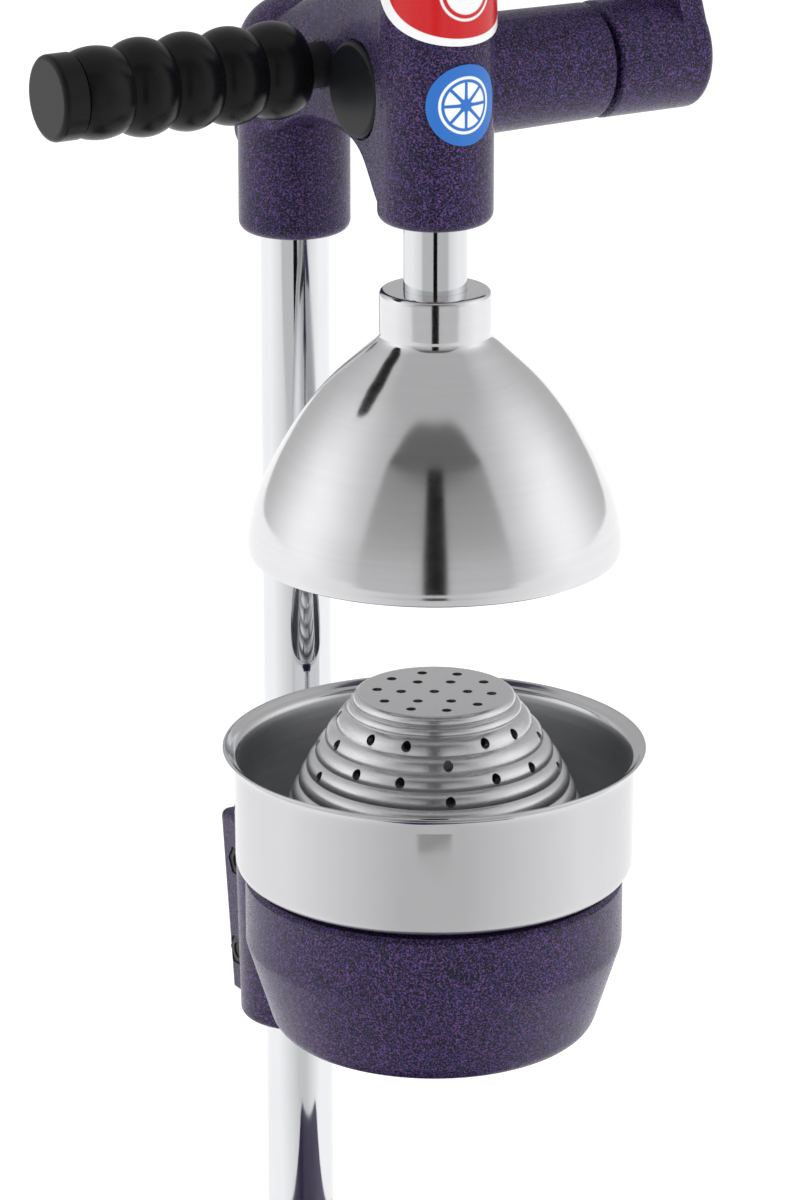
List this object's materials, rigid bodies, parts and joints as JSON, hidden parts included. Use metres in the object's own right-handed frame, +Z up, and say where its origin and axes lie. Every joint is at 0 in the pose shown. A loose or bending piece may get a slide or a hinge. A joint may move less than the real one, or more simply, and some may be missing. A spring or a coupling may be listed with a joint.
{
  "type": "lever fruit press",
  "caption": "Countertop lever press: rack and pinion drives a bell down over a strainer cone in a bowl held on a round column.",
  "frame": {"origin": "on the floor under the rack's axis, at the underside of the rubber pad", "axes": "+Z up along the rack and the column, -Y to the front of the press, +X to the lever's side"},
  "size_m": [0.2504, 0.24, 0.769],
  "materials": {
    "coat": "glossy dark violet-black hammertone powder coat with fine flecks",
    "chrome": "bright chrome plate",
    "rod_steel": "hard chromed and ground steel",
    "bell_metal": "buffed aluminium casting",
    "stainless": "polished stainless steel, brushed inside",
    "fastener": "zinc plated steel",
    "black_plastic": "moulded black plastic, satin gloss",
    "bronze": "sintered bronze",
    "pad_rubber": "matt black rubber",
    "badge_red": "red enamelled plate with a pale border",
    "sticker_blue": "printed vinyl"
  },
  "bodies": {
    "frame": {"anti_slip_pad": "pad_rubber", "base_plate": "coat", "column": "chrome", "column_washer": "fastener", "column_bolt": "fastener", "grub_screws": "fastener", "seat_casting": "coat", "seat_clamp_bolts": "fastener", "seat_clamp_nuts": "fastener", "head_casting": "coat", "rack_bush_lower": "bronze", "rack_bush_upper": "bronze", "shaft_bush_left": "bronze", "shaft_bush_inner": "bronze", "shaft_bush_outer": "bronze", "side_grip": "black_plastic", "side_grip_stud": "fastener", "front_badge": "badge_red", "round_sticker": "sticker_blue"},
    "lever": {"pinion_shaft": "rod_steel", "pinion_gear": "rod_steel", "shaft_keys": "fastener", "shaft_end_cap": "black_plastic", "thrust_washer": "black_plastic", "lever_arm": "coat", "lever_hub_screw": "fastener", "lever_grip": "black_plastic", "lever_grip_stud": "fastener"},
    "rack": {"rack_rod": "rod_steel", "bell": "bell_metal", "bell_screw": "fastener"},
    "bowl": {"bowl": "stainless"},
    "cone": {"strainer_cone": "stainless"}
  },
  "joints": [
    {"name": "lever_turn", "type": "hinge", "parent": "frame", "child": "lever", "pos_m": [0, 0.026, 0.5145], "axis": [1, 0, 0], "range_deg": [0, 252]},
    {"name": "rack_slide", "type": "slide", "parent": "frame", "child": "rack", "axis": [0, 0, -1], "range_m": [0, 0.088]},
    {"name": "bowl_turn", "type": "hinge", "parent": "frame", "child": "bowl", "pos_m": [0, 0, 0.2354], "axis": [0, 0, 1], "continuous": true},
    {"name": "cone_turn", "type": "hinge", "parent": "bowl", "child": "cone", "pos_m": [0, 0, 0.2374], "axis": [0, 0, 1], "continuous": true}
  ],
  "couplings": [
    {"joint": "rack_slide", "follows": "lever_turn", "m_per_rad": 0.02}
  ]
}
